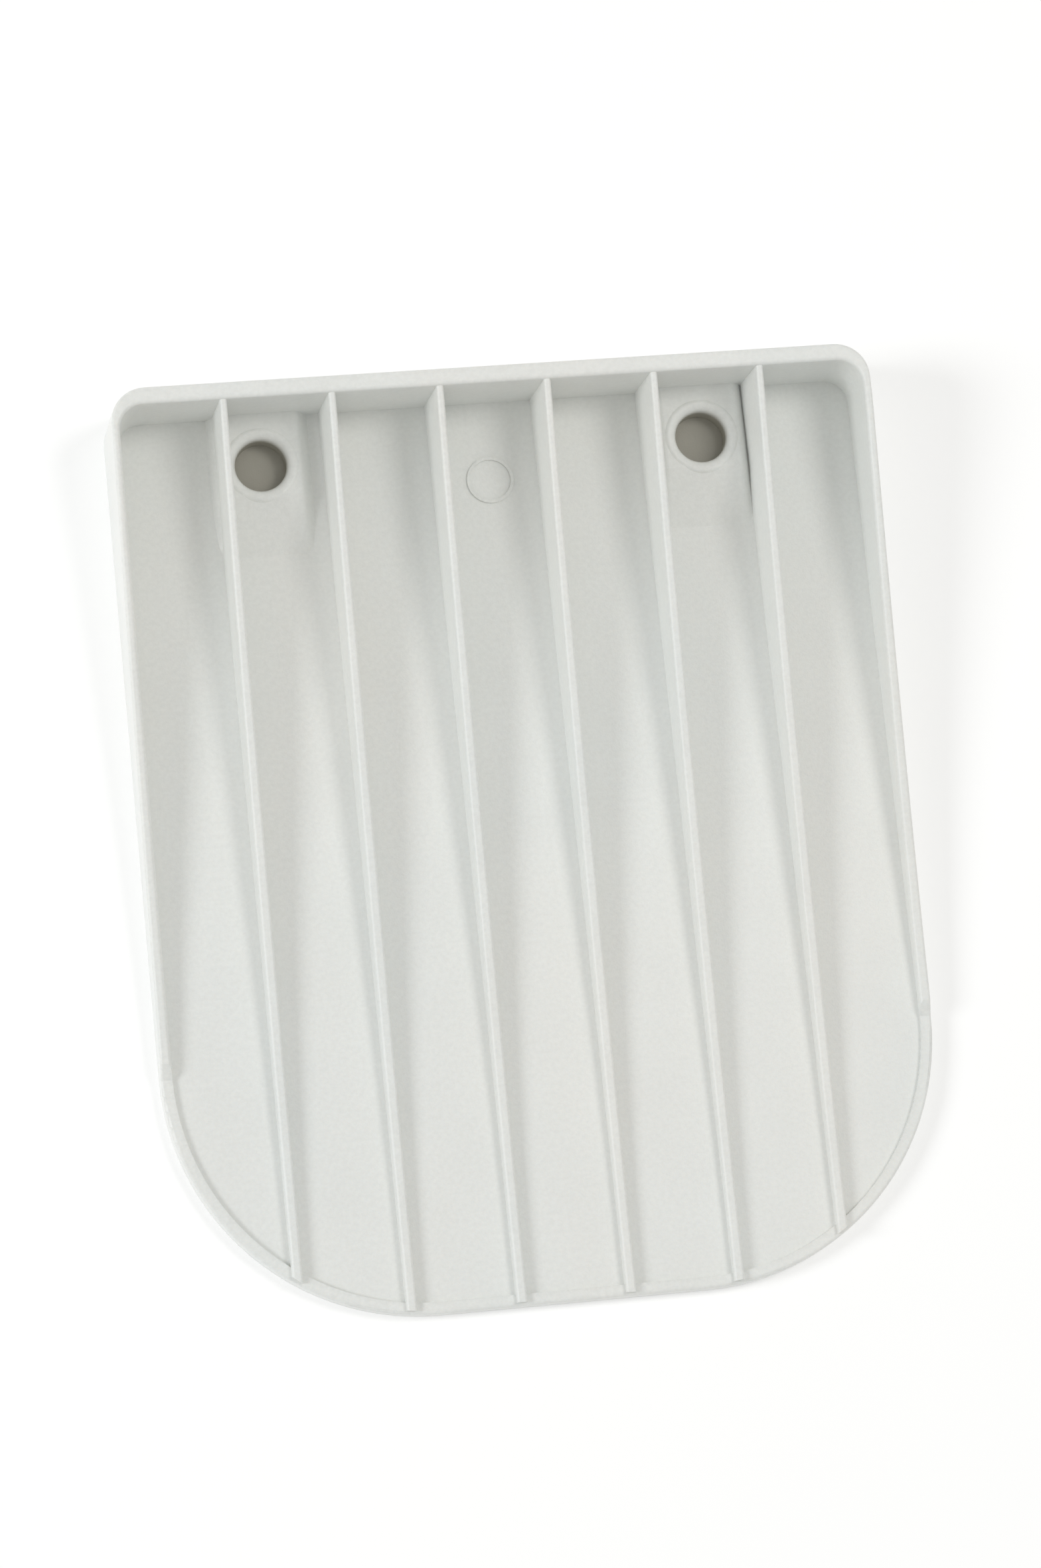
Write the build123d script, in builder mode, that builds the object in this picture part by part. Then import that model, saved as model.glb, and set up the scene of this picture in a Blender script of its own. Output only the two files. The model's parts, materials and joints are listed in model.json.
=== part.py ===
from build123d import *
import math
import os

# A small ribbed diving board, moulded in one piece of white plastic.
#
# The board lies on its flat deck face with the ribs up.  X runs across it, +Y points to the root end,
# where two pegs or screws hold it, -Y to the round tip, and Z points out of the ribbed side.
# The origin is at the middle of the deck face.  All sizes are in millimetres and degrees.

# Deck
width = 110.0
length = 132.6
deck_thickness = 2.0
root_corner = 5.5
tip_corner = 36.0

# Walls and rim: the outer faces lean in towards the top, and the cavity opens by its own draft
root_height = 13.5
root_wall_top = 2.4
outer_lean = 2.6
inner_lean = 0.3
wall_level_length = 8.5
cavity_corner = 3.5
rim_height = 2.6
rim_width = 1.75
step_before_arc = 1.6
step_length = 2.0
step_slope_height = 8.0
step_slope_length = 16.0
outer_round = 0.45
inner_round = 0.6

# Sweep of the wall and rib tops: the share of the fall that stays level at the root and at the tip
root_share = 0.04
tip_share = 0.5
tip_level_length = 3.0

# Ribs
rib_count = 6
rib_pitch = 15.4
rib_root_top = 0.9
rib_tip_top = 1.35
rib_lean = 3.2
rib_root_height = 13.3
rib_tip_height = 3.5
rib_round = 0.42
rib_end_gap = 0.6

# Bosses with blind bores: each is a low, soft pad that fills its bay from the root wall and fades
# out towards the tip, with a barely raised, widely rounded mouth
bore_radius = 3.7
bore_from_root = 10.6
bore_floor = 0.9
mouth_round = 1.15
boss_height = 4.5
boss_crest_radius = 4.95
boss_skirt_radius = 7.6
boss_from_rib = 5.3
boss_off_centre = -0.1
pad_half_width = 8.0
pad_flat_half_width = 5.2
pad_wall_height = 4.3
pad_height = 4.4
pad_level_length = 4.5
pad_fade_length = 13.5
skirt_sink = 0.3

# Blank mould mark, a low raised ring
mark_radius = 3.4
mark_line = 0.45
mark_height = 0.25
mark_from_root = 14.5
mark_off_centre = -0.3

# Modelling allowances: how far a solid reaches into its neighbour, and how far a cut runs clear
sink = 0.5
clear = 5.0

# Worked out from the sizes above
root_y = length / 2
tip_y = -length / 2
cavity_height = root_height - deck_thickness
outer_shift = root_height * math.tan(math.radians(outer_lean))
inner_shift = cavity_height * math.tan(math.radians(inner_lean))
root_inner_top = root_y - outer_shift - root_wall_top
root_inner_base = root_inner_top - inner_shift
step_end_y = tip_y + tip_corner + step_before_arc - step_length
rib_x = [(i - (rib_count - 1) / 2) * rib_pitch for i in range(rib_count)]
skirt_base = deck_thickness - skirt_sink
bore_y = root_y - bore_from_root
left_bore_x = rib_x[0] + boss_from_rib
right_bore_x = (rib_x[-2] + rib_x[-1]) / 2 + boss_off_centre
bores = [(left_bore_x, bore_y), (right_bore_x, bore_y)]


def board_outline(inset):
    """The D-shaped plan of the board, drawn in from its edge by the inset."""
    with BuildSketch() as plan:
        Rectangle(width - 2 * inset, length - 2 * inset)
        fillet(plan.vertices().group_by(Axis.Y)[-1], root_corner - inset)
        fillet(plan.vertices().group_by(Axis.Y)[0], tip_corner - inset)
    return plan.sketch


def above_top(start_y, start_height, end_height):
    """The side view of all that stands above a top edge that sweeps down from the root to the tip."""
    end_y = tip_y + tip_level_length
    fall_length = start_y - end_y
    with BuildSketch(Plane.YZ) as side:
        with BuildLine():
            Bezier(
                (start_y, start_height),
                (start_y - root_share * fall_length, start_height),
                (end_y + tip_share * fall_length, end_height),
                (end_y, end_height),
            )
            Polyline(
                (end_y, end_height),
                (tip_y - clear, end_height),
                (tip_y - clear, start_height + clear),
                (start_y, start_height + clear),
                (start_y, start_height),
            )
        make_face()
    return side.sketch


def rib_section(end_y, top_height, top_width):
    """A rib's cross-section at one end: a wedge of the given width at its top height."""
    base_height = deck_thickness - sink
    spread = (top_height - base_height) * math.tan(math.radians(rib_lean))
    with BuildSketch(Plane.XZ.offset(-end_y)) as section:
        with BuildLine():
            Polyline(
                (-top_width / 2 - spread, base_height),
                (top_width / 2 + spread, base_height),
                (top_width / 2, top_height),
                (-top_width / 2, top_height),
                close=True,
            )
        make_face()
    return section.sketch


def pad_section(at_y, top_height):
    """The cross-section of a boss's pad, at a distance from the bore's axis: flat, with soft sides."""
    soft = (pad_half_width - pad_flat_half_width) / 2
    with BuildSketch(Plane.XZ.offset(-at_y)) as section:
        with BuildLine():
            Bezier(
                (-pad_half_width, skirt_base),
                (-pad_half_width + soft, skirt_base),
                (-pad_flat_half_width - soft, top_height),
                (-pad_flat_half_width, top_height),
            )
            Line((-pad_flat_half_width, top_height), (pad_flat_half_width, top_height))
            Bezier(
                (pad_flat_half_width, top_height),
                (pad_flat_half_width + soft, top_height),
                (pad_half_width - soft, skirt_base),
                (pad_half_width, skirt_base),
            )
            Line((pad_half_width, skirt_base), (-pad_half_width, skirt_base))
        make_face()
    return section.sketch


def along_wall(edge):
    """True for an edge that runs along the top of a wall or of the rim, not across it."""
    middle = edge @ 0.5
    direction = edge % 0.5
    level = middle.Z > rim_height - sink and abs(direction.Z) < 0.5
    across = abs(direction.X) > 0.99 and tip_y + clear < middle.Y < root_y - clear
    return level and not across


def along_rib(edge):
    """True for one of the two long edges of a rib's top."""
    return (edge @ 0.5).Z > deck_thickness and abs((edge % 0.5).Y) > 0.9


# One rib at full length, with a swept and rounded top
with BuildPart() as rib:
    root_end = rib_section(root_y, rib_root_height + sink, rib_root_top)
    tip_end = rib_section(tip_y, rib_tip_height, rib_tip_top)
    loft([root_end, tip_end], ruled=True)
    extrude(above_top(root_y, rib_root_height, rib_tip_height), amount=width, both=True, mode=Mode.SUBTRACT)
    fillet(rib.edges().filter_by(along_rib), rib_round)

# The six ribs, each from inside the root wall to just short of the board's edge
with BuildPart() as ribs:
    with Locations([(at_x, 0) for at_x in rib_x]):
        add(rib.part)
    with BuildSketch():
        add(board_outline(rib_end_gap))
        with Locations((0, root_inner_top + inner_round)):
            Rectangle(width, length, align=(Align.CENTER, Align.MIN), mode=Mode.SUBTRACT)
    extrude(amount=root_height, mode=Mode.INTERSECT)

# One boss with its pad and rounded mouth, standing at the origin
with BuildPart() as boss:
    with BuildSketch(Plane.XZ):
        with BuildLine():
            Bezier(
                (boss_crest_radius, boss_height),
                (boss_crest_radius + 1.0, boss_height),
                (boss_crest_radius + 0.9, skirt_base),
                (boss_skirt_radius, skirt_base),
            )
            Polyline(
                (boss_skirt_radius, skirt_base),
                (0, skirt_base),
                (0, boss_height),
                (boss_crest_radius, boss_height),
            )
        make_face()
    revolve(axis=Axis.Z)
    at_wall = pad_section(root_inner_top - bore_y, pad_wall_height)
    at_level_end = pad_section(-pad_level_length, pad_height)
    at_fade_end = pad_section(-pad_fade_length, skirt_base + 0.1)
    loft([at_wall, at_level_end], ruled=True)
    loft([at_level_end, at_fade_end], ruled=True)
    with BuildSketch(Plane.XY.offset(boss_height)):
        Circle(bore_radius)
    extrude(amount=-boss_height, mode=Mode.SUBTRACT)
    fillet(boss.edges().group_by(Axis.Z)[-1].sort_by(SortBy.RADIUS)[0], mouth_round)

with BuildPart() as board:
    # The outer shape: a leaning block with its top cut down to the line of the walls and the rim
    with BuildSketch():
        add(board_outline(0))
    extrude(amount=root_height, taper=outer_lean)
    wall_tops = above_top(root_y - wall_level_length, root_height, rim_height)
    extrude(wall_tops, amount=width, both=True, mode=Mode.SUBTRACT)
    with BuildSketch(Plane.YZ):
        with BuildLine():
            Polyline(
                (step_end_y, rim_height),
                (step_end_y + step_slope_length, rim_height + step_slope_height),
                (tip_y - clear, rim_height + step_slope_height),
                (tip_y - clear, rim_height),
                close=True,
            )
        make_face()
    extrude(amount=width, both=True, mode=Mode.SUBTRACT)
    fillet(board.edges().filter_by(along_wall), outer_round)

    # The cavity, with one smooth round along the inner edge of the walls
    with BuildSketch(Plane.XY.offset(deck_thickness)) as cavity:
        with Locations((0, root_inner_base)):
            cavity_length = root_inner_base - tip_y - rim_width
            Rectangle(width - 2 * rim_width, cavity_length, align=(Align.CENTER, Align.MAX))
        fillet(cavity.vertices().group_by(Axis.Y)[-1], cavity_corner)
        fillet(cavity.vertices().group_by(Axis.Y)[0], tip_corner - rim_width)
    extrude(amount=cavity_height + clear, taper=-inner_lean, mode=Mode.SUBTRACT)
    inner_edges = board.edges(Select.LAST).filter_by(along_wall).filter_by(GeomType.LINE)
    fillet(inner_edges.sort_by(Axis.Y)[-1], inner_round)

    # Bosses, their blind bores, and the ribs
    with Locations(bores):
        add(boss.part)
    with BuildSketch(Plane.XY.offset(bore_floor)):
        with Locations(bores):
            Circle(bore_radius)
    extrude(amount=boss_height, mode=Mode.SUBTRACT)
    add(ribs.part)

    # The mould mark
    with BuildSketch(Plane.XY.offset(deck_thickness - sink)):
        with Locations((mark_off_centre, root_y - mark_from_root)):
            Circle(mark_radius)
            Circle(mark_radius - mark_line, mode=Mode.SUBTRACT)
    extrude(amount=sink + mark_height)

board.part.label = "board"
os.makedirs("parts", exist_ok=True)
export_step(board.part, "parts/board.step")
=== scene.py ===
# %% [markdown]
# # A small ribbed diving board
# The board is one moulding of white plastic.  It lies on its flat deck face, so we look down on its
# ribbed side: a tall wall at the root, two side walls that sweep down, six ribs, and two bosses with
# bores. The shape comes from the engineering model.  This lesson adds a camera, soft light and a
# believable plastic.

# %% Load the fixed frame
import bpy, bmesh, json, math
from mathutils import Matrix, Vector

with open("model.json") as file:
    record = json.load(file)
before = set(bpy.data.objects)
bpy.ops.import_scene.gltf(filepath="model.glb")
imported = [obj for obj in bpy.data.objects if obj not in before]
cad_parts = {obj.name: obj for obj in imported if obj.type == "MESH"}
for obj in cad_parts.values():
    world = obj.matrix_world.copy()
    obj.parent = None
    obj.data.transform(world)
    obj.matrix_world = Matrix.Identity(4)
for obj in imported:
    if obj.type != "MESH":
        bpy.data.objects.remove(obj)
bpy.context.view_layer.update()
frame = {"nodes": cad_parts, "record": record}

MM = 0.001
board = frame["nodes"]["board"]

# %% [markdown]
# ## The camera
# A long lens far above the board keeps its outline nearly square.  The camera stands a little to the left
# of the board and towards its tip, so the left faces of the ribs show, and it is rolled a few degrees. A
# low wide-angle view would be livelier, but it would bend the straight ribs that make this part easy to
# read.

# %% Place the camera
camera_data = bpy.data.cameras.new("studio_camera")
camera_data.sensor_fit = "AUTO"
camera_data.sensor_width = 36.0
camera_data.lens = 100.99
camera_data.clip_start = 0.01
camera_data.clip_end = 20.0
camera = bpy.data.objects.new("studio_camera", camera_data)
camera.location = Vector((-90.24, -99.80, 610.72)) * MM
camera.rotation_euler = [math.radians(angle) for angle in (10.6644, -7.3538, -5.7963)]
bpy.context.scene.collection.objects.link(camera)
bpy.context.scene.camera = camera
print("camera height (mm):", round(camera.location.z / MM, 1))

# %% [markdown]
# ## The floor
# A plain sheet of pale paper is enough: it catches a faint shadow and throws light back under the leaning
# walls. A weak glow of its own, like a sheet lit from behind, keeps it nearly white and its shadows pale.

# %% Lay the paper
floor_mesh = bpy.data.meshes.new("paper_floor")
paper_build = bmesh.new()
bmesh.ops.create_grid(paper_build, x_segments=1, y_segments=1, size=3.0)
paper_build.to_mesh(floor_mesh)
paper_build.free()
floor = bpy.data.objects.new("paper_floor", floor_mesh)
bpy.context.scene.collection.objects.link(floor)

paper = bpy.data.materials.new("pale_paper")
paper.use_nodes = True
paper_shader = paper.node_tree.nodes["Principled BSDF"]
paper_shader.inputs["Base Color"].default_value = (0.93, 0.93, 0.93, 1)
paper_shader.inputs["Roughness"].default_value = 0.95
paper_shader.inputs["Specular IOR Level"].default_value = 0.1
paper_shader.inputs["Emission Color"].default_value = (1, 1, 1, 1)
paper_shader.inputs["Emission Strength"].default_value = 0.20
floor_mesh.materials.append(paper)
print("floor spans (m):", [round(side, 1) for side in floor.dimensions[:2]])

# %% [markdown]
# ## Soft studio light
# White plastic shows its form only by gentle steps of grey.  Two large round lamps stand on opposite
# sides: a high one on the right, which draws a soft shadow beside each rib, and a lower, slightly cool
# one on the left, which lights the ribs' left faces.  An even white sky fills the rest, so that no shadow
# is black.

# %% Hang the lamps
lamp_distance = 1.2
warm_white = (1.0, 0.985, 0.95)
cool_white = (0.965, 0.985, 1.0)

def soft_lamp(name, direction, size, power, colour):
    """A round lamp that looks at the middle of the board from the given direction."""
    lamp_data = bpy.data.lights.new(name, "AREA")
    lamp_data.shape = "DISK"
    lamp_data.size = size
    lamp_data.energy = power
    lamp_data.color = colour
    lamp = bpy.data.objects.new(name, lamp_data)
    lamp.location = Vector(direction).normalized() * lamp_distance
    lamp.rotation_euler = lamp.location.to_track_quat("Z", "Y").to_euler()
    bpy.context.scene.collection.objects.link(lamp)
    print(name, "at (m):", [round(place, 2) for place in lamp.location])

soft_lamp("high_right_lamp", (0.52, 0.16, 0.85), 0.45, 3.1, warm_white)
soft_lamp("low_left_lamp", (-0.84, 0.03, 0.56), 0.42, 4.7, cool_white)

sky = bpy.data.worlds.new("white_sky")
sky.use_nodes = True
sky.node_tree.nodes["Background"].inputs["Color"].default_value = (1.0, 1.0, 0.985, 1)
sky.node_tree.nodes["Background"].inputs["Strength"].default_value = 0.52
bpy.context.scene.world = sky
bpy.context.scene.view_settings.view_transform = "Standard"
print("view transform:", bpy.context.scene.view_settings.view_transform)

# %% [markdown]
# ## Small helpers for nodes
# A material is a network of nodes.  Writing each link out by hand is slow to read, so one helper adds a
# node and another makes a group with named sockets.  Every pattern reads Object coordinates, which stay
# fixed to the board.

# %% Helpers for nodes and groups
def add_node(tree, kind, settings=None, **inputs):
    """Add a node; an input is a value or the socket that feeds it, and i0, i1 and so on go by number."""
    node = tree.nodes.new(kind)
    for setting, value in (settings or {}).items():
        setattr(node, setting, value)
    for name, value in inputs.items():
        socket = node.inputs[int(name[1:])] if name[1:].isdigit() else node.inputs[name.replace("_", " ")]
        if isinstance(value, bpy.types.NodeSocket):
            tree.links.new(value, socket)
        else:
            socket.default_value = value
    return node

def calculate(tree, operation, first, second=0.0, third=0.0):
    """The output of one Math node."""
    node = add_node(tree, "ShaderNodeMath", {"operation": operation}, i0=first, i1=second, i2=third)
    return node.outputs[0]

def new_group(name, takes, gives):
    """A node group with named number, colour or vector sockets, and its two end nodes."""
    kinds = {"number": "NodeSocketFloat", "colour": "NodeSocketColor", "vector": "NodeSocketVector"}
    group = bpy.data.node_groups.new(name, "ShaderNodeTree")
    for in_out, sockets in (("INPUT", takes), ("OUTPUT", gives)):
        for socket_name, kind in sockets.items():
            group.interface.new_socket(socket_name, in_out=in_out, socket_type=kinds[kind])
    return group, group.nodes.new("NodeGroupInput"), group.nodes.new("NodeGroupOutput")

print("helpers ready for", len(bpy.data.materials), "material and its groups")

# %% [markdown]
# ## Spark-eroded grain
# The mould was cut by sparks, so the plastic has a fine, sparkly, matt grain.  Real grain is made of many
# small pits of a few tenths of a millimetre.  A Voronoi pattern gives separate pits and a noise gives
# their uneven depth. Real bumps would need millions of faces, so the grain is a height for a Bump node,
# and a mask for the colour.

# %% Group: grain
grain, grain_in, grain_out = new_group(
    "spark_grain", {"Place": "vector"}, {"Height": "number", "Speckle": "number"})
pits = add_node(grain, "ShaderNodeTexVoronoi", {}, Vector=grain_in.outputs["Place"], Scale=3600.0)
fine = add_node(grain, "ShaderNodeTexNoise", {}, Vector=grain_in.outputs["Place"], Scale=1500.0, Detail=2.0,
                Roughness=0.65)
rough = add_node(grain, "ShaderNodeTexNoise", {}, Vector=grain_in.outputs["Place"], Scale=420.0, Detail=1.0,
                 Roughness=0.6)
pit_depth = calculate(grain, "MULTIPLY", pits.outputs["Distance"], 0.55)
height = calculate(grain, "MULTIPLY_ADD", fine.outputs["Fac"], 0.9, pit_depth)
height = calculate(grain, "MULTIPLY_ADD", rough.outputs["Fac"], 0.5, height)
grain.links.new(height, grain_out.inputs["Height"])
speckle = add_node(grain, "ShaderNodeMapRange", {}, Value=fine.outputs["Fac"], From_Min=0.34, From_Max=0.66)
grain.links.new(speckle.outputs["Result"], grain_out.inputs["Speckle"])
print("grain nodes:", len(grain.nodes))

# %% [markdown]
# ## Uneven colour
# White plastic is never one white.  The resin flows from the gate to the tip, and leaves broad, soft
# patches that are a little warmer or cooler, and thin walls look cooler than thick ones.  Two slow noises
# give those patches.

# %% Group: patches
patches, patches_in, patches_out = new_group(
    "resin_patches", {"Place": "vector"}, {"Warmth": "number", "Shade": "number"})
stretched = add_node(patches, "ShaderNodeMapping", {}, Vector=patches_in.outputs["Place"])
stretched.inputs["Scale"].default_value = (1.0, 0.45, 1.0)
slow = add_node(patches, "ShaderNodeTexNoise", {}, Vector=stretched.outputs[0], Scale=34.0, Detail=2.0)
middling = add_node(patches, "ShaderNodeTexNoise", {}, Vector=patches_in.outputs["Place"], Scale=95.0,
                    Detail=4.0, Roughness=0.55)
warmth = add_node(patches, "ShaderNodeMapRange", {}, Value=slow.outputs["Fac"], From_Min=0.32, From_Max=0.68)
shade = add_node(patches, "ShaderNodeMapRange", {}, Value=middling.outputs["Fac"], From_Min=0.3, From_Max=0.7)
patches.links.new(warmth.outputs["Result"], patches_out.inputs["Warmth"])
patches.links.new(shade.outputs["Result"], patches_out.inputs["Shade"])
print("patch nodes:", len(patches.nodes))

# %% [markdown]
# ## Marks from the mould and from use
# Here and there sits a tiny dark grain of burnt resin or dust, less than half a millimetre across.  A
# sparse Voronoi pattern with a high threshold picks a few cells, and only the middle of each one is dark.
# Short, faint scuffs run in one direction; a stretched noise cut off near its top makes them.

# %% Group: specks and scuffs
speck_share = 0.045
marks, marks_in, marks_out = new_group(
    "specks_and_scuffs", {"Place": "vector"}, {"Specks": "number", "Scuffs": "number"})
cells = add_node(marks, "ShaderNodeTexVoronoi", {}, Vector=marks_in.outputs["Place"], Scale=150.0)
split_cell = add_node(marks, "ShaderNodeSeparateColor", {}, Color=cells.outputs["Color"])
chosen = calculate(marks, "GREATER_THAN", split_cell.outputs[0], 1 - speck_share)
near = add_node(marks, "ShaderNodeMapRange", {}, Value=cells.outputs["Distance"], From_Min=0.035,
                From_Max=0.02)
marks.links.new(calculate(marks, "MULTIPLY", chosen, near.outputs["Result"]), marks_out.inputs["Specks"])
combed = add_node(marks, "ShaderNodeMapping", {}, Vector=marks_in.outputs["Place"])
combed.inputs["Rotation"].default_value = (0.0, 0.0, 0.6)
combed.inputs["Scale"].default_value = (1.0, 0.09, 1.0)
strokes = add_node(marks, "ShaderNodeTexNoise", {}, Vector=combed.outputs[0], Scale=1100.0, Detail=2.0)
scuff = add_node(marks, "ShaderNodeMapRange", {}, Value=strokes.outputs["Fac"], From_Min=0.66, From_Max=0.74)
marks.links.new(scuff.outputs["Result"], marks_out.inputs["Scuffs"])
print("mark nodes:", len(marks.nodes))

# %% [markdown]
# ## Inside the bores
# A bore is deep and narrow, so it keeps its shadow, and here that shade is painted into its colour.  Its
# place is known from the part's own mounts, so a mask measures how far a point is from each bore's axis,
# and paints shade only on what is inside and low.

# %% Group: painted bore shade
bore_mounts = [mount for mount in frame["record"]["mounts"] if mount["kind"] == "bore"]
bore_radius = bore_mounts[0]["dims"]["r_mm"] * MM
mask_radius = bore_radius * 1.14
dark_below, bright_above = 2.9 * MM, 4.2 * MM
# painted shade: this mask darkens the inside of each bore, low down, where its shadow falls
bores, bores_in, bores_out = new_group("painted_bore_shade", {"Place": "vector"}, {"Inside": "number"})
point = add_node(bores, "ShaderNodeSeparateXYZ", {}, Vector=bores_in.outputs["Place"])
inside = 0.0
for mount in bore_mounts:
    bore_x, bore_y, _ = mount["pos_m"]
    across = calculate(bores, "SUBTRACT", point.outputs["X"], bore_x)
    along = calculate(bores, "SUBTRACT", point.outputs["Y"], bore_y)
    squared = calculate(bores, "MULTIPLY_ADD", across, across, calculate(bores, "MULTIPLY", along, along))
    away = calculate(bores, "SQRT", squared)
    within = add_node(bores, "ShaderNodeMapRange", {}, Value=away, From_Min=mask_radius, From_Max=bore_radius)
    inside = calculate(bores, "MAXIMUM", within.outputs["Result"], inside)
low = add_node(bores, "ShaderNodeMapRange", {}, Value=point.outputs["Z"], From_Min=bright_above,
               From_Max=dark_below)
bores.links.new(calculate(bores, "MULTIPLY", inside, low.outputs["Result"]), bores_out.inputs["Inside"])
print("bores at (mm):", [[round(place / MM, 1) for place in mount["pos_m"][:2]] for mount in bore_mounts])

# %% [markdown]
# ## The white plastic
# The base colour starts as a soft, slightly green white.  Patches make it warmer or cooler, the grain
# speckles it, painted grey shade darkens the narrow corners, and the top edges get a painted highlight and
# are a touch smoother. A little light goes into real plastic and comes out again nearby, so the subsurface
# weight is small but not zero.

# %% Material: colour
cool_resin = (0.785, 0.812, 0.795, 1)
warm_resin = (0.822, 0.815, 0.775, 1)
plastic = bpy.data.materials.new("white_plastic")
plastic.use_nodes = True
tree = plastic.node_tree
shader = tree.nodes["Principled BSDF"]
place = add_node(tree, "ShaderNodeTexCoord").outputs["Object"]
grain_node = add_node(tree, "ShaderNodeGroup", {"node_tree": grain}, Place=place)
patch_node = add_node(tree, "ShaderNodeGroup", {"node_tree": patches}, Place=place)
mark_node = add_node(tree, "ShaderNodeGroup", {"node_tree": marks}, Place=place)
bore_node = add_node(tree, "ShaderNodeGroup", {"node_tree": bores}, Place=place)

def blend_colour(amount, first, second, kind="MIX"):
    """The colour output of one Mix node."""
    mix = add_node(tree, "ShaderNodeMix", {"data_type": "RGBA", "blend_type": kind}, i0=amount, i6=first,
                   i7=second)
    return mix.outputs[2]

def tone(value, low_tone, high_tone):
    """Turn a mask from 0 to 1 into a number between two tones."""
    turned = add_node(tree, "ShaderNodeMapRange", {}, Value=value, To_Min=low_tone, To_Max=high_tone)
    return turned.outputs["Result"]

resin = blend_colour(patch_node.outputs["Warmth"], cool_resin, warm_resin)
shade_tone = tone(patch_node.outputs["Shade"], 0.965, 1.03)
speckle_tone = tone(grain_node.outputs["Speckle"], 0.935, 1.045)
both_tones = calculate(tree, "MULTIPLY", shade_tone, speckle_tone)
grey_tone = add_node(tree, "ShaderNodeCombineColor", {}, Red=both_tones, Green=both_tones, Blue=both_tones)
resin = blend_colour(1.0, resin, grey_tone.outputs[0], "MULTIPLY")
print("colour nodes so far:", len(tree.nodes))

# %% [markdown]
# Corners and edges come next.  An Ambient Occlusion node looks a few millimetres around each point: shut-
# in points are corners, and get painted grey shade.  Turned to look inside the body, the same node finds
# thin outer edges, which get a painted highlight.

# %% Material: corners, edges and marks
# painted shade for the shut-in corners
painted_corner_shade_colour = (0.55, 0.56, 0.54, 1)
# painted highlight for the thin outer edges
painted_edge_highlight_colour = (0.89, 0.90, 0.88, 1)
# painted shade for the inside of the bores
painted_bore_shade_colour = (0.33, 0.31, 0.25, 1)
scuff_colour = (0.88, 0.88, 0.87, 1)
speck_colour = (0.16, 0.15, 0.13, 1)

corner_look = add_node(tree, "ShaderNodeAmbientOcclusion", {"samples": 2, "only_local": True},
                       Distance=3.2 * MM)
corner = add_node(tree, "ShaderNodeMapRange", {}, Value=corner_look.outputs["AO"], From_Min=0.75,
                  From_Max=0.25)
edge_look = add_node(tree, "ShaderNodeAmbientOcclusion", {"samples": 2, "inside": True, "only_local": True},
                     Distance=0.9 * MM)
edge = add_node(tree, "ShaderNodeMapRange", {}, Value=edge_look.outputs["AO"], From_Min=0.35, From_Max=0.85)
# painted corner shade, its strength varied by the patches
corner_shade_strength = tone(patch_node.outputs["Shade"], 0.16, 0.34)
painted_corner_shade = calculate(tree, "MULTIPLY", corner.outputs["Result"], corner_shade_strength)
resin = blend_colour(painted_corner_shade, resin, painted_corner_shade_colour)
# the edge mask paints a highlight and the bore mask paints shade; scuffs and specks are marks of use
for mask, strength, colour in (
    (edge.outputs["Result"], 0.6, painted_edge_highlight_colour),
    (bore_node.outputs["Inside"], 0.82, painted_bore_shade_colour),
    (mark_node.outputs["Scuffs"], 0.10, scuff_colour),
    (mark_node.outputs["Specks"], 0.75, speck_colour),
):
    resin = blend_colour(calculate(tree, "MULTIPLY", mask, strength), resin, colour)
tree.links.new(resin, shader.inputs["Base Color"])
print("colour nodes in all:", len(tree.nodes))

# %% [markdown]
# Gloss and bump finish the plastic.  The grain scatters the light, so the roughness is fairly high, and
# lower on the rubbed edges.  The bump is only hundredths of a millimetre high, which is enough for a
# sparkle.

# %% Material: gloss and bump
matt = tone(grain_node.outputs["Speckle"], 0.42, 0.58)
polish = calculate(tree, "MULTIPLY", edge.outputs["Result"], 0.08)
tree.links.new(calculate(tree, "SUBTRACT", matt, polish), shader.inputs["Roughness"])
bump = add_node(tree, "ShaderNodeBump", {}, Strength=0.4, Distance=0.05 * MM,
                Height=grain_node.outputs["Height"])
tree.links.new(bump.outputs["Normal"], shader.inputs["Normal"])
shader.inputs["IOR"].default_value = 1.49
shader.inputs["Subsurface Weight"].default_value = 0.15
shader.inputs["Subsurface Radius"].default_value = (1.0, 0.9, 0.8)
shader.inputs["Subsurface Scale"].default_value = 1.2 * MM
board.data.materials.clear()
board.data.materials.append(plastic)
print("board triangles:", len(board.data.polygons), "material:", board.data.materials[0].name)
